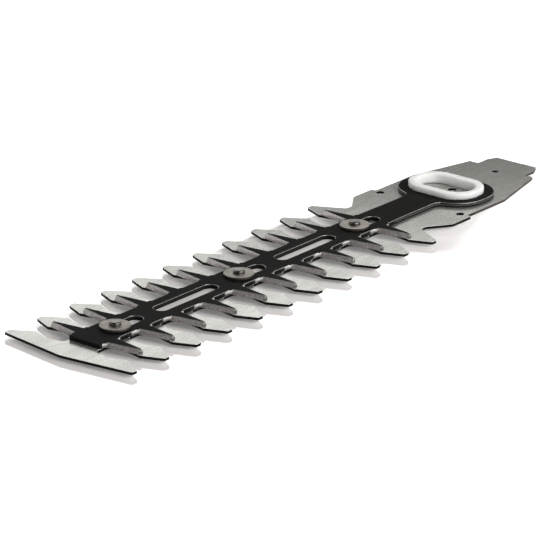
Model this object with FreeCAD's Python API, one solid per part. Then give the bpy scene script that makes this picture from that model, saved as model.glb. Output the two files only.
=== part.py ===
import FreeCAD, Part
import math
import os

# Blade set of a shrub and hedge trimmer: a toothed shear blade slides along a fixed comb plate,
# held down by three riveted guide points and driven through an oval slot with a plastic liner.
# Sizes are in millimetres. X runs from the tail to the nose, Y across the teeth and Z upwards.
# The origin is midway between the two fixing holes, on the comb plate's underside.
# The shear blade is drawn at the rear end of its stroke.

# Comb plate: sheet, nose bar and teeth
plate_thickness = 1.2
tooth_count = 10            # teeth on each side, behind the nose bar
tooth_pitch = 18.5
last_tooth_x = 38.2         # front shoulder of the rearmost tooth
comb_spine_width = 16.0     # between the roots of the gaps
shoulder_y = 23.8           # where a tooth is widest
shoulder_width = 11.9
tip_y = 33.0
tip_width = 2.9
tip_setback = 3.7           # front of the tip, behind the front shoulder
neck_y = 16.0               # where a tooth is narrowest
neck_front_inset = 1.6
neck_rear_inset = 2.6
root_flare = 1.2            # each side of the neck, at the root
nose_apex_lead = 4.3        # apex of the nose bar, ahead of the bar's ends
gap_root_radius = 2.5
neck_radius = 6.0
shoulder_radius = 0.6
tip_radius = 0.9
nose_apex_radius = 14.0

# Comb plate: tail
notch_x = 23.0
notch_y = 19.6
notch_width = 3.3
notch_radius = 2.0
heel_x = 11.8
heel_radius = 4.0
step_x = -0.8
step_depth = 2.1
taper_start_x = -27.0
taper_end_x = -57.3
taper_end_y = 16.8
tang_y = 12.4
tang_chamfer_x = -64.0
tail_end_x = -68.4
tail_end_y = 10.4
tail_corner_radius = 0.7
taper_radius = 3.0

# Comb plate: holes
fixing_hole_diameter = 3.5
fixing_hole_spacing = 42.4
fixing_hole_edge = 5.2      # from a hole's centre to the edge of the plate's widest place
locating_hole_x = -22.5
locating_hole_diameter = 3.8
tail_hole_x = -53.0
tail_hole_diameter = 2.8

# Shear blade: sheet, teeth and drive arm
blade_thickness = 1.8
stroke = 11.0
blade_spine_width = 16.2
blade_tooth_setback = 1.9   # centre of a blade tooth, behind the comb tooth's front shoulder
tooth_guard = 1.2           # comb shoulder beyond the blade tooth's tip
blade_root_front = 4.3      # cutting edges at the root, ahead of and behind the tooth's centre
blade_root_rear = 3.6
blade_tip_width = 3.2
bevel_run = 1.1             # ground flanks lean in by this much over the sheet's thickness
bevel_start = 0.8           # ground flanks start this far from the spine
blade_root_radius = 1.5
blade_tip_radius = 0.5
blade_front_length = 7.0    # front end, ahead of the first blade tooth's centre
blade_front_radius = 0.6
arm_width = 15.6
arm_taper = 14.5            # from the spine's width down to the arm's
arm_fillet = 4.0

# Guide points: rivet, sleeve and washer
guide_count = 3
guide_spacing_teeth = 4
guide_lead = 5.9            # rear guide, ahead of the rearmost tooth's front shoulder
guide_slot_width = 6.4
guide_slot_margin = 0.7     # free slot beyond each end of the stroke
slide_clearance = 0.05
shank_diameter = 3.2
shank_clearance = 0.05
washer_diameter = 12.5
washer_thickness = 1.05
washer_edge_radius = 0.3
washer_lift = 0.06          # blade's running clearance under the washer
rivet_head_diameter = 4.8
rivet_head_height = 1.4
rivet_head_radius = 0.7
rivet_crater_diameter = 2.2
rivet_crater_depth = 0.4
rivet_sunk_diameter = 4.8
rivet_sunk_depth = 0.8

# Shear blade: long windows between the guide slots
window_width = 6.4
window_front_bridge = 8.9
window_rear_bridge = 10.5

# Drive eye and its liner
drive_axis_x = -12.5        # middle of the stroke
drive_slot_width = 15.2
drive_slot_margin = 0.5     # free slot beyond each end of the drive pin's sweep
liner_side_rim = 3.7
liner_end_rim = 3.2
liner_corner_radius = 10.5
liner_height = 2.6          # rim above the blade's top face
liner_outer_radius = 0.6
liner_inner_radius = 0.9
collar_wall = 1.2
collar_lift = 0.2           # collar's clearance above the comb plate
collar_clearance = 0.05
eye_side_ledge = 4.5        # blade's eye around the liner's rim
eye_end_ledge = 3.9

# Levels
blade_bottom_z = plate_thickness
blade_top_z = blade_bottom_z + blade_thickness
washer_bottom_z = blade_top_z + washer_lift
washer_top_z = washer_bottom_z + washer_thickness
liner_bottom_z = blade_bottom_z + collar_lift
liner_top_z = blade_top_z + liner_height

# Places along the blade set
first_tooth_x = last_tooth_x + (tooth_count - 1) * tooth_pitch
nose_bar_x = first_tooth_x + tooth_pitch
rear_guide_x = last_tooth_x + guide_lead
guide_spacing = guide_spacing_teeth * tooth_pitch
guide_places = [rear_guide_x + index * guide_spacing for index in range(guide_count)]
liner_x = drive_axis_x - stroke / 2

# Sizes that follow from the fits
shank_hole_radius = shank_diameter / 2 + shank_clearance
guide_slot_radius = guide_slot_width / 2
guide_slot_front = guide_slot_margin + guide_slot_radius
guide_slot_rear = stroke + guide_slot_margin + guide_slot_radius
blade_tip_y = shoulder_y - tooth_guard
heel_y = fixing_hole_spacing / 2 + fixing_hole_edge
body_y = heel_y - step_depth
drive_slot_length = drive_slot_width + stroke + 2 * drive_slot_margin
overcut = 1.0               # cutters reach this far past the faces they cut


def vector(x, y, z=0.0):
    return FreeCAD.Vector(x, y, z)


# Closed wire through (x, y, radius) corners, each rounded by a tangent arc that its sides leave room for.
def rounded_wire(corners):
    points = [vector(x, y) for x, y, radius in corners]
    arcs = []
    for index, (x, y, radius) in enumerate(corners):
        corner = points[index]
        before = points[index - 1] - corner
        after = points[(index + 1) % len(points)] - corner
        half_angle = before.getAngle(after) / 2
        room = 0.49 * min(before.Length, after.Length)
        reach = min(radius / math.tan(half_angle), room)
        inward = before.normalize() + after.normalize()
        start = corner + before * reach
        end = corner + after * reach
        middle = corner
        if reach > 0:
            arc_radius = reach * math.tan(half_angle)
            inward.normalize()
            middle = corner + inward * (arc_radius / math.sin(half_angle) - arc_radius)
        arcs.append((start, middle, end))
    edges = []
    for index, (start, middle, end) in enumerate(arcs):
        edges.append(Part.LineSegment(arcs[index - 1][2], start).toShape())
        if start != end:
            edges.append(Part.Arc(start, middle, end).toShape())
    return Part.Wire(edges)


# Sheet of a given outline between two levels.
def sheet(corners, bottom, top):
    face = Part.Face(rounded_wire(corners))
    face.translate(vector(0, 0, bottom))
    return face.extrude(vector(0, 0, top - bottom))


# Both sides of an outline that is given for +Y alone, from the nose to the tail.
def both_sides(half):
    mirrored = [(x, -y, radius) for x, y, radius in reversed(half)]
    return half + mirrored


# Ring or pin turned about Z from its (radius, height, corner radius) profile.
def turned(profile):
    face = Part.Face(rounded_wire(profile))
    upright = face.rotated(vector(0, 0), vector(1, 0), 90)
    return upright.revolve(vector(0, 0), vector(0, 0, 1), 360)


# Corners of a rectangle about (x, 0) with rounded corners.
def rectangle(x, half_x, half_y, radius):
    return both_sides([(x + half_x, half_y, radius), (x - half_x, half_y, radius)])


# Prism of an oblong slot along X.
def slot_along_x(front_x, rear_x, width, bottom, top):
    radius = width / 2
    corner = vector(rear_x + radius, -radius, bottom)
    slot = Part.makeBox(front_x - rear_x - width, width, top - bottom, corner)
    for x in (rear_x + radius, front_x - radius):
        slot = slot.fuse(Part.makeCylinder(radius, top - bottom, vector(x, 0, bottom)))
    return slot.removeSplitter()


# Prism of an oblong slot along Y, about (x, 0).
def slot_along_y(x, width, length, bottom, top):
    slot = slot_along_x(length / 2, -length / 2, width, bottom, top)
    slot.rotate(vector(0, 0), vector(0, 0, 1), 90)
    slot.translate(vector(x, 0))
    return slot


def hole(x, y, diameter):
    return Part.makeCylinder(diameter / 2, plate_thickness + 2 * overcut, vector(x, y, -overcut))


# Front edge of a comb tooth, from the root of the gap ahead of it to its tip.
def tooth_front(shoulder_x):
    neck_x = shoulder_x - neck_front_inset
    return [
        (neck_x + root_flare, comb_spine_width / 2, gap_root_radius),
        (neck_x, neck_y, neck_radius),
        (shoulder_x, shoulder_y, shoulder_radius),
        (shoulder_x - tip_setback, tip_y, tip_radius),
    ]


# Rear edge of a comb tooth or of the nose bar, from its tip to the root of the gap behind it.
def tooth_rear(shoulder_x):
    neck_x = shoulder_x - shoulder_width + neck_rear_inset
    return [
        (shoulder_x - tip_setback - tip_width, tip_y, tip_radius),
        (shoulder_x - shoulder_width, shoulder_y, shoulder_radius),
        (neck_x, neck_y, neck_radius),
        (neck_x - root_flare, comb_spine_width / 2, gap_root_radius),
    ]


def comb_plate():
    nose_end_x = nose_bar_x - tip_setback
    half = [(nose_end_x, tip_y, tip_radius)]
    for index in range(tooth_count):
        shoulder_x = first_tooth_x - index * tooth_pitch
        half += tooth_rear(shoulder_x + tooth_pitch)
        half += tooth_front(shoulder_x)
    half += [
        (last_tooth_x - tip_setback - tip_width, tip_y, tip_radius),
        (notch_x + notch_width / 2, notch_y, notch_radius),
        (notch_x - notch_width / 2, notch_y, notch_radius),
        (heel_x, heel_y, heel_radius),
        (step_x, heel_y, tail_corner_radius),
        (step_x, body_y, tail_corner_radius),
        (taper_start_x, body_y, taper_radius),
        (taper_end_x, taper_end_y, tail_corner_radius),
        (taper_end_x, tang_y, tail_corner_radius),
        (tang_chamfer_x, tang_y, tail_corner_radius),
        (tail_end_x, tail_end_y, tail_corner_radius),
    ]
    apex = (nose_end_x + nose_apex_lead, 0, nose_apex_radius)
    plate = sheet([apex] + both_sides(half), 0, plate_thickness)
    cuts = [
        hole(0, fixing_hole_spacing / 2, fixing_hole_diameter),
        hole(0, -fixing_hole_spacing / 2, fixing_hole_diameter),
        hole(locating_hole_x, 0, locating_hole_diameter),
        hole(tail_hole_x, 0, tail_hole_diameter),
    ]
    for x in guide_places:
        sunk_radius = rivet_sunk_diameter / 2 + shank_clearance
        cuts.append(hole(x, 0, 2 * shank_hole_radius))
        cuts.append(Part.makeCone(sunk_radius, shank_hole_radius, rivet_sunk_depth, vector(x, 0)))
    return plate.cut(cuts)


# Cutter that grinds one flank of a blade tooth, from its cutting edge up and inwards.
# The edge runs from the root to the tip, and inward is the side of it that the tooth lies on.
def flank_cutter(root, tip, inward):
    along = (tip - root).normalize()
    across = vector(-along.y, along.x) * inward
    start = root + along * bevel_start
    length = (tip - root).Length - bevel_start + overcut
    height = blade_thickness + overcut
    lean = bevel_run * height / blade_thickness
    section = [
        start + vector(0, 0, blade_bottom_z),
        start + across * lean + vector(0, 0, blade_bottom_z + height),
        start - across * overcut + vector(0, 0, blade_bottom_z + height),
        start - across * overcut + vector(0, 0, blade_bottom_z),
    ]
    face = Part.Face(Part.makePolygon(section + section[:1]))
    return face.extrude(along * length)


def shear_blade():
    spine_y = blade_spine_width / 2
    arm_y = arm_width / 2
    tip_half = blade_tip_width / 2
    front_x = first_tooth_x - blade_tooth_setback + blade_front_length
    half = [(front_x, spine_y, blade_front_radius)]
    grinds = []
    for index in range(tooth_count):
        centre_x = first_tooth_x - blade_tooth_setback - index * tooth_pitch
        half += [
            (centre_x + blade_root_front, spine_y, blade_root_radius),
            (centre_x + tip_half, blade_tip_y, blade_tip_radius),
            (centre_x - tip_half, blade_tip_y, blade_tip_radius),
            (centre_x - blade_root_rear, spine_y, blade_root_radius),
        ]
        for side in (1, -1):
            front_root = vector(centre_x + blade_root_front, side * spine_y)
            front_tip = vector(centre_x + tip_half, side * blade_tip_y)
            rear_root = vector(centre_x - blade_root_rear, side * spine_y)
            rear_tip = vector(centre_x - tip_half, side * blade_tip_y)
            grinds.append(flank_cutter(front_root, front_tip, side))
            grinds.append(flank_cutter(rear_root, rear_tip, -side))
    last_root_x = last_tooth_x - blade_tooth_setback - blade_root_rear
    half += [
        (last_root_x - arm_taper, arm_y, arm_fillet),
        (liner_x, arm_y, 0),
    ]
    toothed = sheet(both_sides(half), blade_bottom_z, blade_top_z)
    eye_half_x = drive_slot_width / 2 + liner_side_rim + eye_side_ledge
    eye_half_y = drive_slot_length / 2 + liner_end_rim + eye_end_ledge
    eye_corners = rectangle(liner_x, eye_half_x, eye_half_y, liner_corner_radius + eye_end_ledge)
    joined = toothed.fuse(sheet(eye_corners, blade_bottom_z, blade_top_z)).removeSplitter()
    corners = []
    for edge in joined.Edges:
        middle = edge.CenterOfMass
        upright = abs(edge.BoundBox.ZLength - blade_thickness) < 0.001
        at_arm = abs(abs(middle.y) - arm_y) < 0.001
        if upright and at_arm and liner_x < middle.x < liner_x + eye_half_x:
            corners.append(edge)
    blade = joined.makeFillet(arm_fillet, corners)
    low = blade_bottom_z - overcut
    high = blade_top_z + overcut
    for x in guide_places:
        slot_front = x + guide_slot_front
        slot_rear = x - guide_slot_rear
        blade = blade.cut(slot_along_x(slot_front, slot_rear, guide_slot_width, low, high))
    for behind, ahead in zip(guide_places, guide_places[1:]):
        window_front = ahead - guide_slot_rear - window_front_bridge
        window_rear = behind + guide_slot_front + window_rear_bridge
        blade = blade.cut(slot_along_x(window_front, window_rear, window_width, low, high))
    seat = collar_wall + collar_clearance
    eye_hole = slot_along_y(liner_x, drive_slot_width + 2 * seat, drive_slot_length + 2 * seat, low, high)
    return blade.cut(eye_hole).cut(grinds)


# Plastic liner of the drive slot: a rim on the blade's eye and a collar down through it.
def slot_liner():
    rim_half_x = drive_slot_width / 2 + liner_side_rim
    rim_half_y = drive_slot_length / 2 + liner_end_rim
    rim = sheet(rectangle(liner_x, rim_half_x, rim_half_y, liner_corner_radius), blade_top_z, liner_top_z)
    collar_width = drive_slot_width + 2 * collar_wall
    collar_length = drive_slot_length + 2 * collar_wall
    collar = slot_along_y(liner_x, collar_width, collar_length, liner_bottom_z, blade_top_z)
    drive_slot = slot_along_y(liner_x, drive_slot_width, drive_slot_length,
                              liner_bottom_z - overcut, liner_top_z + overcut)
    liner = rim.fuse(collar).removeSplitter().cut(drive_slot)
    outer_edges = []
    inner_edges = []
    for edge in liner.Edges:
        box = edge.BoundBox
        if box.ZMin < liner_top_z - 0.001:
            continue
        reach_x = max(liner_x - box.XMin, box.XMax - liner_x)
        reach_y = max(-box.YMin, box.YMax)
        if reach_x < drive_slot_width / 2 + 0.001 and reach_y < drive_slot_length / 2 + 0.001:
            inner_edges.append(edge)
        else:
            outer_edges.append(edge)
    return liner.makeFillet(liner_inner_radius, inner_edges).makeFillet(liner_outer_radius, outer_edges)


def guide_sleeve(x):
    outer = guide_slot_width / 2 - slide_clearance
    sleeve = turned([
        (shank_hole_radius, blade_bottom_z, 0),
        (outer, blade_bottom_z, 0),
        (outer, washer_bottom_z, 0),
        (shank_hole_radius, washer_bottom_z, 0),
    ])
    sleeve.translate(vector(x, 0))
    return sleeve


def guide_washer(x):
    outer = washer_diameter / 2
    washer = turned([
        (shank_hole_radius, washer_bottom_z, 0),
        (outer, washer_bottom_z, washer_edge_radius),
        (outer, washer_top_z, washer_edge_radius),
        (shank_hole_radius, washer_top_z, 0),
    ])
    washer.translate(vector(x, 0))
    return washer


# Rivet: sunk flush in the comb plate, formed over the washer with a small crater.
def guide_rivet(x):
    shank = shank_diameter / 2
    head = rivet_head_diameter / 2
    head_top_z = washer_top_z + rivet_head_height
    rivet = turned([
        (0, 0, 0),
        (rivet_sunk_diameter / 2, 0, 0),
        (shank, rivet_sunk_depth, 0),
        (shank, washer_top_z, 0),
        (head, washer_top_z, 0),
        (head, head_top_z, rivet_head_radius),
        (rivet_crater_diameter / 2, head_top_z, rivet_head_radius),
        (0, head_top_z - rivet_crater_depth, 0),
    ])
    rivet.translate(vector(x, 0))
    return rivet


def main():
    nodes = {
        "comb_plate": comb_plate(),
        "shear_blade": shear_blade(),
        "slot_liner": slot_liner(),
    }
    for place, x in zip(("rear", "middle", "front"), guide_places):
        nodes[place + "_guide_sleeve"] = guide_sleeve(x)
        nodes[place + "_guide_washer"] = guide_washer(x)
        nodes[place + "_guide_rivet"] = guide_rivet(x)
    os.makedirs("parts", exist_ok=True)
    for name, shape in nodes.items():
        shape.exportStep("parts/" + name + ".step")
        print(name, "volume", round(shape.Volume, 1), "valid", shape.isValid(), "solids", len(shape.Solids))


main()
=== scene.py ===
import math
import bpy
import bmesh
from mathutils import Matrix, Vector


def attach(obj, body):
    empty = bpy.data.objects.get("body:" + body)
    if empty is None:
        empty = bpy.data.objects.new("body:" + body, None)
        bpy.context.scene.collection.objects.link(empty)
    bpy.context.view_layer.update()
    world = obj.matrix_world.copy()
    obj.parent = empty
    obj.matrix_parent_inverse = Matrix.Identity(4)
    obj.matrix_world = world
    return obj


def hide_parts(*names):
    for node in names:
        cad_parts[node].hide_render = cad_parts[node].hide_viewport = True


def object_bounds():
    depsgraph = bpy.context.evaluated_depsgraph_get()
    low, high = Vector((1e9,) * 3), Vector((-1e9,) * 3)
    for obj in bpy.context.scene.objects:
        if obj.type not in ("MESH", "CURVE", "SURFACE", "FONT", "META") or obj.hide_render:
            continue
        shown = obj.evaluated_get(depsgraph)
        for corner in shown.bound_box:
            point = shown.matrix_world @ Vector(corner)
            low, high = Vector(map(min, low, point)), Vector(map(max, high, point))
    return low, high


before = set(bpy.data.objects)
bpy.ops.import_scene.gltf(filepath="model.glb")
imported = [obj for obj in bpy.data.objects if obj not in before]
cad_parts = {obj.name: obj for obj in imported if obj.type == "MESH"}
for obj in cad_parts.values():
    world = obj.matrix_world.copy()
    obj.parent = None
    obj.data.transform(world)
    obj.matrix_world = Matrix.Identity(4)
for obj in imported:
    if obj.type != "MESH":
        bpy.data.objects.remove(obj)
cadLow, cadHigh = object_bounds()
scene = bpy.context.scene
mm = 0.001
print("frame loaded,", len(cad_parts), "nodes")


# the low and high corners of a CAD node, in millimetres
def boxOf(node):
    axes = list(zip(*(vert.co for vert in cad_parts[node].data.vertices)))
    low = Vector([min(axis) for axis in axes]) / mm
    high = Vector([max(axis) for axis in axes]) / mm
    return low, high


guidePlaces = {}
for guide in ("front", "middle", "rear"):
    sleeveLow, sleeveHigh = boxOf(guide + "_guide_sleeve")
    guidePlaces[guide] = (sleeveLow.x + sleeveHigh.x) / 2
teethPerGuide = 4        # the guides stand four teeth apart
toothPitch = (guidePlaces["front"] - guidePlaces["middle"]) / teethPerGuide
print("guides at", [round(x, 4) for x in guidePlaces.values()], "tooth pitch", round(toothPitch, 4))


class Wire:
    def __init__(self, tree, socket=None):
        self.tree = tree
        self.socket = socket

    def make(self, kind, settings=None, inputs=None, output=0):
        node = self.tree.nodes.new(kind)
        for name, value in (settings or {}).items():
            setattr(node, name, value)
        for key, value in (inputs or {}).items():
            if isinstance(value, Wire):
                self.tree.links.new(value.socket, node.inputs[key])
            else:
                node.inputs[key].default_value = value
        return Wire(self.tree, node.outputs[output])

    def maths(self, operation, first, second=0.0):
        return self.make("ShaderNodeMath", {"operation": operation}, {0: first, 1: second})

    def __add__(self, other):
        return self.maths("ADD", self, other)

    def __radd__(self, other):
        return self.maths("ADD", other, self)

    def __sub__(self, other):
        return self.maths("SUBTRACT", self, other)

    def __rsub__(self, other):
        return self.maths("SUBTRACT", other, self)

    def __mul__(self, other):
        return self.maths("MULTIPLY", self, other)

    def __rmul__(self, other):
        return self.maths("MULTIPLY", other, self)

    def __truediv__(self, other):
        return self.maths("DIVIDE", self, other)

    def __rtruediv__(self, other):
        return self.maths("DIVIDE", other, self)

    def __abs__(self):
        return self.maths("ABSOLUTE", self)

    def larger(self, other):
        return self.maths("MAXIMUM", self, other)

    def smooth(self, low, high):
        return self.make("ShaderNodeMapRange", {"interpolation_type": "SMOOTHSTEP"},
                         {"Value": self, "From Min": low, "From Max": high})

    def between(self, rise, fall):
        return self.smooth(*rise) * (1.0 - self.smooth(*fall))

    def blend(self, first, second):
        return self.make("ShaderNodeMix", {"data_type": "RGBA"}, {0: self, 6: first, 7: second}, 2)

    def stretched(self, scale):
        return self.make("ShaderNodeVectorMath", {"operation": "MULTIPLY"}, {0: self, 1: scale})

    def noise(self, scale, detail, roughness):
        point = self.stretched(scale)
        return self.make("ShaderNodeTexNoise", {}, {"Vector": point, "Scale": 1.0, "Detail": detail,
                                                    "Roughness": roughness})

    def axis(self, letter):
        return self.make("ShaderNodeSeparateXYZ", {}, {0: self}, letter)


# the place that a material reads is in millimetres
def newMaterial(name):
    material = bpy.data.materials.new(name)
    material.use_nodes = True
    tree = material.node_tree
    shader = tree.nodes["Principled BSDF"]
    place = Wire(tree).make("ShaderNodeTexCoord", {}, {}, "Object").stretched((1 / mm, 1 / mm, 1 / mm))
    return material, shader, place


def feed(shader, **sockets):
    names = {"colour": "Base Color", "roughness": "Roughness", "metallic": "Metallic", "normal": "Normal"}
    for key, value in sockets.items():
        value.tree.links.new(value.socket, shader.inputs[names[key]])


def bumpFrom(height, strength, distance):
    return height.make("ShaderNodeBump", {},
                       {"Strength": strength, "Distance": distance * mm, "Height": height})


# in every look a noise is given as its scale along each axis, its detail and its roughness
noiseSpan = (0.3, 0.7)        # where most of a noise's values lie
# the paler colour under the blade is painted light that brightens the plate seen through the blade's windows
plateLook = {"dark": (0.330, 0.333, 0.308, 1.0), "pale": (0.520, 0.525, 0.488, 1.0),
             "underBladePaintedLight": (0.74, 0.715, 0.69, 1.0),
             "grain": ((0.07, 1.9, 1.0), 3.0, 0.6), "grainShare": 0.35,
             "smear": ((0.10, 0.42, 0.2), 4.0, 0.6), "smearSpan": (0.36, 0.66), "smearShare": 0.35,
             "cloud": ((0.05, 0.09, 0.05), 3.0, 0.55), "cloudSpan": (0.35, 0.65), "cloudShare": 0.30,
             "fine": ((0.40, 4.5, 1.0), 2.0, 0.6), "midTone": 0.5, "teeth": (-10.0, 70.0), "tailMottle": 0.35,
             "coverSide": (6.0, 6.5), "coverRear": (40.0, 42.0), "coverFront": (205.0, 207.0),
             "roughness": 0.20, "fineRough": 0.08, "smearRough": 0.05, "coverRough": 0.35,
             "metallic": 0.72, "coverMetallic": 0.10, "grainBump": 0.6, "bump": (0.12, 0.02)}


def plateSteel(look):
    material, shader, place = newMaterial("plate steel")
    grain = place.noise(*look["grain"])        # brushing runs along the plate
    smear = place.noise(*look["smear"])
    cloud = place.noise(*look["cloud"])
    fine = place.noise(*look["fine"])
    mottle = (grain.smooth(*noiseSpan) * look["grainShare"]
              + smear.smooth(*look["smearSpan"]) * look["smearShare"]
              + cloud.smooth(*look["cloudSpan"]) * look["cloudShare"])
    toothed = place.axis("X").smooth(*look["teeth"])        # the tail is plainer than the teeth and the nose
    contrast = look["tailMottle"] + toothed * (1.0 - look["tailMottle"])
    tone = look["midTone"] + (mottle - look["midTone"]) * contrast
    steel = tone.blend(look["dark"], look["pale"])
    underBladePaintedLight = place.axis("X").between(look["coverRear"], look["coverFront"])        # matte under the blade, and paler there as painted light on the plate seen through the windows
    underBladePaintedLight = underBladePaintedLight * (1.0 - abs(place.axis("Y")).smooth(*look["coverSide"]))
    roughness = look["roughness"] + fine * look["fineRough"] + smear * look["smearRough"]
    height = grain * look["grainBump"] + fine * (1.0 - look["grainBump"])
    feed(shader, colour=underBladePaintedLight.blend(steel, look["underBladePaintedLight"]),
         roughness=roughness + underBladePaintedLight * look["coverRough"],
         metallic=look["metallic"] + underBladePaintedLight * (look["coverMetallic"] - look["metallic"]),
         normal=bumpFrom(height, *look["bump"]))
    return material


edgeLook = {"dark": (0.004, 0.0035, 0.0035, 1.0), "pale": (0.014, 0.013, 0.0125, 1.0),
            "brown": (0.085, 0.074, 0.069, 1.0), "speck": ((1.4, 1.4, 0.6), 3.0, 0.6),
            "speckSpan": (0.35, 0.75), "outer": (8.5, 9.5), "tail": (-8.0, -3.0), "roughness": 0.45,
            "speckRough": 0.2, "specular": 0.05}


def plateEdge(look):
    material, shader, place = newMaterial("plate edge")
    speck = place.noise(*look["speck"])
    black = speck.smooth(*look["speckSpan"]).blend(look["dark"], look["pale"])
    outer = abs(place.axis("Y")).smooth(*look["outer"])
    tail = (1.0 - place.axis("X").smooth(*look["tail"])) * outer        # brown outside, black in the holes
    feed(shader, colour=tail.blend(black, look["brown"]),
         roughness=look["roughness"] + speck * look["speckRough"])
    shader.inputs["Specular IOR Level"].default_value = look["specular"]
    return material


# the plate's rounded top edges are painted near white as a painted highlight, and brown on the tail
rimHighlightLook = {"dark": (0.78, 0.775, 0.75, 1.0), "pale": (0.92, 0.92, 0.89, 1.0),
           "brown": (0.24, 0.225, 0.21, 1.0), "speck": ((0.9, 0.9, 0.9), 3.0, 0.6), "tail": (2.0, 22.0),
           "roughness": 0.30, "speckRough": 0.12, "metallic": 0.15}


def plateRimHighlight(look):
    material, shader, place = newMaterial("plate rim painted highlight")
    speck = place.noise(*look["speck"])
    bright = speck.smooth(*noiseSpan).blend(look["dark"], look["pale"])
    tail = 1.0 - place.axis("X").smooth(*look["tail"])
    feed(shader, colour=tail.blend(bright, look["brown"]),
         roughness=look["roughness"] + speck * look["speckRough"])
    shader.inputs["Metallic"].default_value = look["metallic"]
    return material


# corner and end are shares of the way from one tooth to the next, the other places are in millimetres
wallLook = {"black": (0.010, 0.009, 0.009, 1.0), "burnished": (0.20, 0.19, 0.18, 1.0),
            "paintedRootHighlight": (0.62, 0.61, 0.58, 1.0), "speck": ((1.6, 1.6, 0.5), 3.0, 0.6), "arm": (26.0, 28.0),
            "bandLow": (1.70, 1.85), "bandHigh": (2.25, 2.40), "bandWear": 0.5, "speckWear": 0.6,
            "firstTooth": 1.6, "corner": (0.24, 0.30), "cornerLow": (1.30, 1.55), "endRear": (0.63, 0.66),
            "endFront": (0.70, 0.73), "endLow": (1.9, 2.2), "root": (7.8, 8.0), "front": (208.2, 208.8),
            "roughness": 0.42, "speckRough": 0.15, "specular": 0.15}


def bladeWall(look):
    material, shader, place = newMaterial("blade wall")
    speck = place.noise(*look["speck"])
    level = place.axis("Z")
    arm = 1.0 - place.axis("X").smooth(*look["arm"])        # the arm and the eye keep a burnished band
    band = level.between(look["bandLow"], look["bandHigh"]) * arm
    worn = band * (look["bandWear"] + speck * look["speckWear"])
    along = place.maths("FRACT", (place.axis("X") - look["firstTooth"]) / toothPitch)
    corner = (1.0 - along.smooth(*look["corner"])) * level.smooth(*look["cornerLow"])
    end = along.between(look["endRear"], look["endFront"]) * level.smooth(*look["endLow"])
    root = abs(place.axis("Y")).smooth(*look["root"]) * (1.0 - place.axis("X").smooth(*look["front"]))
    # the pale patches at the root corners and ends are a painted highlight where the root fillets catch light
    paintedRootHighlight = corner.larger(end) * root * (1.0 - arm)
    feed(shader, colour=paintedRootHighlight.blend(worn.blend(look["black"], look["burnished"]), look["paintedRootHighlight"]),
         roughness=look["roughness"] + speck * look["speckRough"])
    shader.inputs["Specular IOR Level"].default_value = look["specular"]
    return material


plainLooks = {
    "blade black": {"dark": (0.0035, 0.0032, 0.0028, 1.0), "pale": (0.0095, 0.0088, 0.0078, 1.0),
                    "grain": ((1.1, 1.1, 1.1), 4.0, 0.6), "span": noiseSpan,
                    "cloud": ((0.05, 0.09, 0.05), 3.0, 0.55), "cloudShare": 0.5, "cloudRough": 0.06,
                    "roughness": 0.50, "grainRough": 0.12, "bump": (0.3, 0.03),
                    "fixed": {"Specular IOR Level": 0.03}},
    "rubbed edge": {"dark": (0.30, 0.295, 0.285, 1.0), "pale": (0.48, 0.48, 0.465, 1.0),
                    "grain": ((0.9, 0.9, 0.9), 3.0, 0.6), "span": noiseSpan,
                    "roughness": 0.26, "grainRough": 0.12, "fixed": {"Metallic": 1.0}},
    "ground steel": {"dark": (0.34, 0.318, 0.308, 1.0), "pale": (0.66, 0.627, 0.612, 1.0),
                     "grain": ((2.2, 1.1, 3.0), 4.0, 0.65), "span": noiseSpan,
                     "fine": ((6.0, 2.0, 6.0), 2.0, 0.6),
                     "roughness": 0.40, "grainRough": 0.2, "bump": (0.35, 0.03), "fixed": {"Metallic": 1.0}},
    "washer steel": {"dark": (0.23, 0.213, 0.190, 1.0), "pale": (0.41, 0.383, 0.347, 1.0),
                     "grain": ((1.2, 1.2, 1.2), 4.0, 0.65), "span": noiseSpan,
                     "cloud": ((0.3, 0.3, 0.3), 2.0, 0.5), "cloudShare": 0.4, "cloudRough": 0.0,
                     "roughness": 0.44, "grainRough": 0.16, "bump": (0.2, 0.02), "fixed": {"Metallic": 1.0}},
    # the washer's side is the washer steel painted darker: painted shade and the dark reflection of the blade
    "washer side painted shade": {"dark": (0.045, 0.039, 0.034, 1.0), "pale": (0.110, 0.098, 0.088, 1.0),
                    "grain": ((1.2, 1.2, 2.4), 3.0, 0.6), "span": noiseSpan,
                    "roughness": 0.40, "grainRough": 0.15, "fixed": {"Metallic": 0.7}},
    "rivet steel": {"dark": (0.075, 0.070, 0.064, 1.0), "pale": (0.18, 0.170, 0.160, 1.0),
                    "grain": ((2.0, 2.0, 2.0), 3.0, 0.6), "span": noiseSpan,
                    "roughness": 0.18, "grainRough": 0.12, "fixed": {"Metallic": 1.0}},
    "liner white": {"dark": (0.76, 0.78, 0.745, 1.0), "pale": (0.82, 0.835, 0.805, 1.0),
                    "grain": ((0.8, 0.8, 0.8), 3.0, 0.55), "span": (0.2, 0.8),
                    "roughness": 0.42, "grainRough": 0.1,
                    "fixed": {"Subsurface Weight": 1.0, "Subsurface Radius": (1.0, 1.0, 0.95),
                              "Subsurface Scale": 4.0 * mm}},
}


# the grain mixes the two colours, with the cloud where there is one, and roughens them unless fine does
def plainFinish(name, look):
    material, shader, place = newMaterial(name)
    grain = place.noise(*look["grain"])
    rougher = place.noise(*look["fine"]) if "fine" in look else grain
    roughness = look["roughness"] + rougher * look["grainRough"]
    mottle = grain
    if "cloud" in look:
        cloud = place.noise(*look["cloud"])
        mottle = grain * (1.0 - look["cloudShare"]) + cloud * look["cloudShare"]
        roughness = roughness + cloud * look["cloudRough"]
    feed(shader, colour=mottle.smooth(*look["span"]).blend(look["dark"], look["pale"]), roughness=roughness)
    if "bump" in look:
        feed(shader, normal=bumpFrom(grain, *look["bump"]))
    for socket, value in look["fixed"].items():
        shader.inputs[socket].default_value = value
    return material


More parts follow.
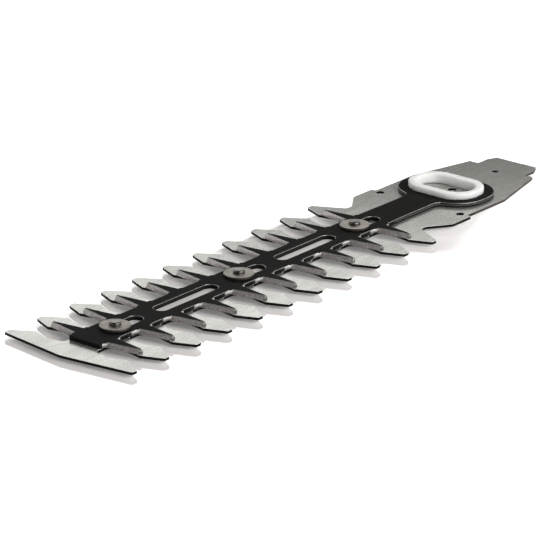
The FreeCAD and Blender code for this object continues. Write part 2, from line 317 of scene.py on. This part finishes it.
finishes = {name: plainFinish(name, look) for name, look in plainLooks.items()}
finishes["plate steel"] = plateSteel(plateLook)
finishes["plate edge"] = plateEdge(edgeLook)
finishes["plate rim painted highlight"] = plateRimHighlight(rimHighlightLook)
finishes["blade wall"] = bladeWall(wallLook)
print("materials made,", len(finishes))


def addPiece(name, bm, materials, body, node, smoothAngle=None):
    mesh = bpy.data.meshes.new(name)
    bmesh.ops.recalc_face_normals(bm, faces=bm.faces)
    bm.to_mesh(mesh)
    bm.free()
    for finish in materials:
        mesh.materials.append(finishes[finish])
    for polygon in mesh.polygons:
        polygon.use_smooth = True
    piece = bpy.data.objects.new(name, mesh)
    scene.collection.objects.link(piece)
    if smoothAngle:
        mesh.set_sharp_from_angle(angle=math.radians(smoothAngle))
    else:
        weighted = piece.modifiers.new("weighted", "WEIGHTED_NORMAL")
        weighted.keep_sharp = True
    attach(piece, body)
    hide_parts(node)


sheetMesh = {"merge": 0.004, "flatAngle": 0.4, "levelFace": 0.9}        # levelFace is a normal's height


# a sheet is its CAD node with the edges above rimLow rounded, and with its own finish on them behind
# rimFront, which on the plate is a painted highlight
def sheetFromNode(node, choose, shape):
    bm = bmesh.new()
    bm.from_mesh(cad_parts[node].data)
    bmesh.ops.remove_doubles(bm, verts=bm.verts, dist=sheetMesh["merge"] * mm)
    bmesh.ops.dissolve_limit(bm, angle_limit=math.radians(sheetMesh["flatAngle"]), verts=bm.verts,
                             edges=bm.edges)
    for face in bm.faces:
        face.material_index = choose(face)
    rimLow = shape["rimLow"] * mm
    rim = [edge for edge in bm.edges
           if len(edge.link_faces) == 2 and edge.calc_face_angle() > math.radians(shape["rimAngle"])
           and all(vert.co.z > rimLow for vert in edge.verts)]
    rounded = bmesh.ops.bevel(bm, geom=rim, offset=shape["round"] * mm, offset_type="OFFSET",
                              segments=shape["segments"], profile=0.5, affect="EDGES", clamp_overlap=True,
                              material=-1)
    for face in rounded["faces"]:
        middle = face.calc_center_median()
        if middle.z > rimLow and middle.x < shape["rimFront"] * mm:
            face.material_index = shape["rimFinish"]
    return bm


plateShape = {"rimAngle": 40.0, "round": 0.10, "segments": 3, "rimLow": 0.85, "rimFront": cadHigh[0] / mm,
              "rimFinish": 2}


def plateFinish(face):
    return 0 if abs(face.normal.z) > sheetMesh["levelFace"] else 1


plateMesh = sheetFromNode("comb_plate", plateFinish, plateShape)
addPiece("combPlate", plateMesh, ["plate steel", "plate edge", "plate rim painted highlight"], "base",
         "comb_plate")
print("comb plate made")

# a sloping face past groundFace, or one past groundTip from the middle, is ground
bladeShape = {"rimAngle": 25.0, "round": 0.16, "segments": 2, "rimLow": 2.8, "rimFront": 207.0,
              "rimFinish": 3, "groundFace": 0.3, "groundTip": 21.5}


def bladeFinish(face):
    upward = abs(face.normal.z)
    if upward > sheetMesh["levelFace"]:
        return 0
    if upward > bladeShape["groundFace"] or abs(face.calc_center_median().y) > bladeShape["groundTip"] * mm:
        return 1
    return 2


bladeMesh = sheetFromNode("shear_blade", bladeFinish, bladeShape)
addPiece("shearBlade", bladeMesh, ["blade black", "ground steel", "blade wall", "rubbed edge"], "cutter",
         "shear_blade")
print("shear blade made")

linerLow, linerHigh = boxOf("slot_liner")
linerMiddle = (linerLow + linerHigh) / 2
linerHalf = (linerHigh - linerLow) / 2
# inner, collar and outer are half sizes along and across, with the corner radius
linerShape = {"inner": (7.6, 13.6, 7.55), "collar": (8.8, 14.8, 8.75),
              "outer": (linerHalf.x, linerHalf.y, 10.5), "low": linerLow.z, "relief": 3.1, "seat": 3.0,
              "shoulder": 5.5, "top": linerHigh.z, "innerRound": 0.9, "outerRound": 0.6, "cornerSegments": 20,
              "roundSegments": 6, "smoothAngle": 50.0}


def roundedLoop(bm, half, z, segments):
    halfX, halfY, radius = half
    square = bmesh.ops.create_grid(bm, x_segments=1, y_segments=1, size=1.0)["verts"]
    bmesh.ops.scale(bm, vec=(halfX * mm, halfY * mm, 1.0), verts=square)
    bmesh.ops.translate(bm, vec=(linerMiddle.x * mm, 0.0, z * mm), verts=square)
    curved = bmesh.ops.bevel(bm, geom=square, offset=radius * mm, offset_type="ABSOLUTE", segments=segments,
                             profile=0.5, affect="VERTICES", clamp_overlap=True, material=-1)
    sheet = curved["verts"][0].link_faces[0]
    outline = sheet.edges[:]
    bmesh.ops.delete(bm, geom=[sheet], context="FACES_ONLY")
    return outline


def makeLiner(shape):
    bm = bmesh.new()
    rings = []
    for half, z in (("inner", "low"), ("inner", "top"), ("outer", "shoulder"), ("outer", "seat"),
                    ("collar", "relief"), ("collar", "low")):
        rings.append(roundedLoop(bm, shape[half], shape[z], shape["cornerSegments"]))
    for first, second in zip(rings, rings[1:] + rings[:1]):
        bmesh.ops.bridge_loops(bm, edges=first + second)
    for ring, size in ((rings[1], shape["innerRound"]), (rings[2], shape["outerRound"])):
        bmesh.ops.bevel(bm, geom=ring, offset=size * mm, segments=shape["roundSegments"], profile=0.5,
                        affect="EDGES", material=-1)
    return bm


addPiece("slotLiner", makeLiner(linerShape), ["liner white"], "cutter", "slot_liner",
         linerShape["smoothAngle"])
print("liner made")

turning = {"sameSpot": 0.001, "roundSegments": 5, "smoothAngle": 40.0}
washerLow, washerHigh = boxOf("front_guide_washer")
washerShape = {"hole": 1.65, "outer": washerHigh.x - guidePlaces["front"], "low": washerLow.z,
               "top": washerHigh.z, "round": 0.16, "steps": 96, "topFace": 0.85}
rivetHigh = boxOf("front_guide_rivet")[1]
rivetShape = {"shank": 1.6, "sunk": 2.4, "sunkDepth": 0.8, "seat": washerShape["top"],
              "head": rivetHigh.x - guidePlaces["front"], "top": rivetHigh.z, "round": 0.7, "crater": 1.55,
              "craterDepth": 0.18, "steps": 64}


# spins a profile of radius and height pairs, then rounds the given corners
def turned(profile, corners, size, x, steps):
    bm = bmesh.new()
    verts = [bm.verts.new((radius * mm, 0.0, z * mm)) for radius, z in profile]
    edges = [bm.edges.new(pair) for pair in zip(verts, verts[1:])]
    bmesh.ops.spin(bm, geom=verts + edges, cent=(0.0, 0.0, 0.0), axis=(0.0, 0.0, 1.0), angle=math.tau,
                   steps=steps, use_merge=True)
    sameSpot = turning["sameSpot"] * mm
    bmesh.ops.remove_doubles(bm, verts=bm.verts, dist=sameSpot)
    for radius, z in corners:
        rim = [edge for edge in bm.edges
               if all(abs(vert.co.xy.length - radius * mm) < sameSpot and abs(vert.co.z - z * mm) < sameSpot
                      for vert in edge.verts)]
        bmesh.ops.bevel(bm, geom=rim, offset=size * mm, segments=turning["roundSegments"], profile=0.5,
                        affect="EDGES", material=-1)
    bmesh.ops.translate(bm, vec=(x * mm, 0.0, 0.0), verts=bm.verts)
    bmesh.ops.recalc_face_normals(bm, faces=bm.faces)
    return bm


def makeWasher(shape, x):
    profile = [(shape["hole"], shape["top"]), (shape["hole"], shape["low"]), (shape["outer"], shape["low"]),
               (shape["outer"], shape["top"]), (shape["hole"], shape["top"])]
    washer = turned(profile, profile[2:4], shape["round"], x, shape["steps"])
    for face in washer.faces:
        # the sides take the darker copy of the washer steel as painted shade
        face.material_index = 0 if face.normal.z > shape["topFace"] else 1
    return washer


def makeRivet(shape, x):
    crown = (shape["head"], shape["top"])
    profile = [(0.0, 0.0), (shape["sunk"], 0.0), (shape["shank"], shape["sunkDepth"]),
               (shape["shank"], shape["seat"]), (shape["head"], shape["seat"]), crown,
               (shape["crater"], shape["top"]), (0.0, shape["top"] - shape["craterDepth"])]
    return turned(profile, [crown], shape["round"], x, shape["steps"])


for guide, x in guidePlaces.items():
    addPiece(guide + "Washer", makeWasher(washerShape, x), ["washer steel", "washer side painted shade"], "base",
             guide + "_guide_washer", turning["smoothAngle"])
    addPiece(guide + "Rivet", makeRivet(rivetShape, x), ["rivet steel"], "base",
             guide + "_guide_rivet", turning["smoothAngle"])
    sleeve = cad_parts[guide + "_guide_sleeve"]
    sleeve.data.materials.clear()
    sleeve.data.materials.append(finishes["rivet steel"])
print("guides made")

# size is in metres and drop, middle, half, fade, tail and the sides are in millimetres
# the floor's glow is kept low beside the part and beside the tail as a painted shadow around it, and far is
# its white away from it
floorShape = {"size": 8.0, "drop": 1.4, "colour": (0.88, 0.835, 0.82, 1.0), "roughness": 0.05,
              "specular": 1.0, "ior": 2.0, "middle": 77.0, "half": 149.0, "paintedShadowGlow": 0.13, "far": 1.0,
              "fade": (2.0, 40.0), "tail": (-50.0, 60.0), "tailPaintedShadowGlow": 0.45, "sides": (-31.0, 36.5),
              "tailSides": (-1.5, 14.5), "farSteep": 9.5, "tailSteep": 3.1}


def floorWhite(shape):
    material, shader, place = newMaterial("floor white")
    shader.inputs["Base Color"].default_value = shape["colour"]
    shader.inputs["Roughness"].default_value = shape["roughness"]
    shader.inputs["Specular IOR Level"].default_value = shape["specular"]
    shader.inputs["IOR"].default_value = shape["ior"]
    along = place.axis("X")
    side = place.axis("Y")
    ahead = along.smooth(*shape["tail"])
    farSide, nearSide = [end + ahead * (full - end) for end, full in zip(shape["tailSides"], shape["sides"])]
    aside = (abs(along - shape["middle"]) - shape["half"]).larger(0.0)
    across = ((farSide - side) * shape["farSteep"]).larger(side - nearSide).larger(0.0)
    distance = along.maths("SQRT", aside * aside + across * across)
    steep = shape["tailSteep"] + ahead * (1.0 - shape["tailSteep"])
    away = (distance * steep).smooth(*shape["fade"])
    # the glow beside the part is lowered as a painted shadow, fading to full white away from it
    paintedShadowGlow = shape["tailPaintedShadowGlow"] + ahead * (shape["paintedShadowGlow"] - shape["tailPaintedShadowGlow"])
    white = paintedShadowGlow + away * (shape["far"] - paintedShadowGlow)
    seen = (place.make("ShaderNodeLightPath", {}, {}, "Is Camera Ray")
            + place.make("ShaderNodeLightPath", {}, {}, "Is Glossy Ray"))
    glow = place.make("ShaderNodeEmission", {}, {"Color": white, "Strength": seen})
    both = place.make("ShaderNodeAddShader", {}, {0: Wire(place.tree, shader.outputs[0]), 1: glow})
    place.tree.links.new(both.socket, place.tree.nodes["Material Output"].inputs["Surface"])
    return material


def makeFloor(shape):
    bm = bmesh.new()
    bmesh.ops.create_grid(bm, x_segments=1, y_segments=1, size=shape["size"] / 2)
    mesh = bpy.data.meshes.new("floor")
    bm.to_mesh(mesh)
    bm.free()
    mesh.materials.append(floorWhite(shape))
    floor = bpy.data.objects.new("floor", mesh)
    floor.location.z = -shape["drop"] * mm
    scene.collection.objects.link(floor)


makeFloor(floorShape)

# the surround is dimmer towards front, from the first to the second value of frontEdge
surround = {"sky": (1.0, 0.965, 0.955, 1.0), "strength": 0.16, "front": (0.77, 0.64, 0.0), "frontDrop": 0.65,
            "frontEdge": (0.2, 0.85)}


def makeWorld(shape):
    world = bpy.data.worlds.new("studio")
    scene.world = world
    world.use_nodes = True
    tree = world.node_tree
    way = Wire(tree).make("ShaderNodeTexCoord", {}, {}, "Generated")
    ahead = way.make("ShaderNodeVectorMath", {"operation": "DOT_PRODUCT"}, {0: way, 1: shape["front"]},
                     "Value")
    level = shape["strength"] * (1.0 - ahead.smooth(*shape["frontEdge"]) * shape["frontDrop"])
    background = tree.nodes["Background"]
    background.inputs["Color"].default_value = shape["sky"]
    tree.links.new(level.socket, background.inputs["Strength"])


makeWorld(surround)

# places and sizes are in metres, and glow is what a lamp shows in a mirror, where 1 is white
lamps = {
    "behind": {"at": (-0.100, -0.145, 0.165), "aim": (0.0, -0.062, 0.165), "size": (1.2, 0.11), "glow": 1.75},
    "middle": {"at": (-0.100, -0.145, 0.0955), "aim": (0.0, -0.062, 0.0955), "size": (1.2, 0.029),
               "glow": 1.7},
    "left": {"at": (0.68, -0.55, 0.45), "aim": (0.1, 0.0, 0.0), "size": (0.9, 0.6), "glow": 0.50},
    "right": {"at": (0.10, 0.75, 0.45), "aim": (0.0, 0.0, 0.0), "size": (0.8, 0.4), "glow": 8.4},
    "rim": {"at": (-0.55, 0.34, 0.54), "aim": (0.1, 0.0, 0.0), "size": (0.4, 0.2), "glow": 2.0},
}
for name, lamp in lamps.items():
    data = bpy.data.lights.new(name, "AREA")
    data.shape = "RECTANGLE"
    data.size, data.size_y = lamp["size"]
    data.energy = lamp["glow"] * math.pi * data.size * data.size_y
    light = bpy.data.objects.new(name, data)
    light.location = lamp["at"]
    light.rotation_euler = (Vector(lamp["aim"]) - Vector(lamp["at"])).to_track_quat("-Z", "Y").to_euler()
    scene.collection.objects.link(light)
print("floor and lights made")

shot = {"target": (102.0, 2.753, 1.2), "azimuth": 129.69, "elevation": 20.53, "distance": 1582.93,
        "lens": 262.9, "sensor": 36.0, "clip": (0.05, 50.0)}


def makeCamera(view):
    azimuth = math.radians(view["azimuth"])
    elevation = math.radians(view["elevation"])
    back = Vector((math.sin(azimuth) * math.cos(elevation), -math.cos(azimuth) * math.cos(elevation),
                   math.sin(elevation)))
    data = bpy.data.cameras.new("camera")
    data.sensor_width = view["sensor"]
    data.lens = view["lens"]
    data.clip_start, data.clip_end = view["clip"]
    camera = bpy.data.objects.new("camera", data)
    camera.location = Vector(view["target"]) * mm + back * view["distance"] * mm
    camera.rotation_euler = (-back).to_track_quat("-Z", "Y").to_euler()
    scene.collection.objects.link(camera)
    scene.camera = camera


makeCamera(shot)
scene.view_settings.view_transform = "Standard"
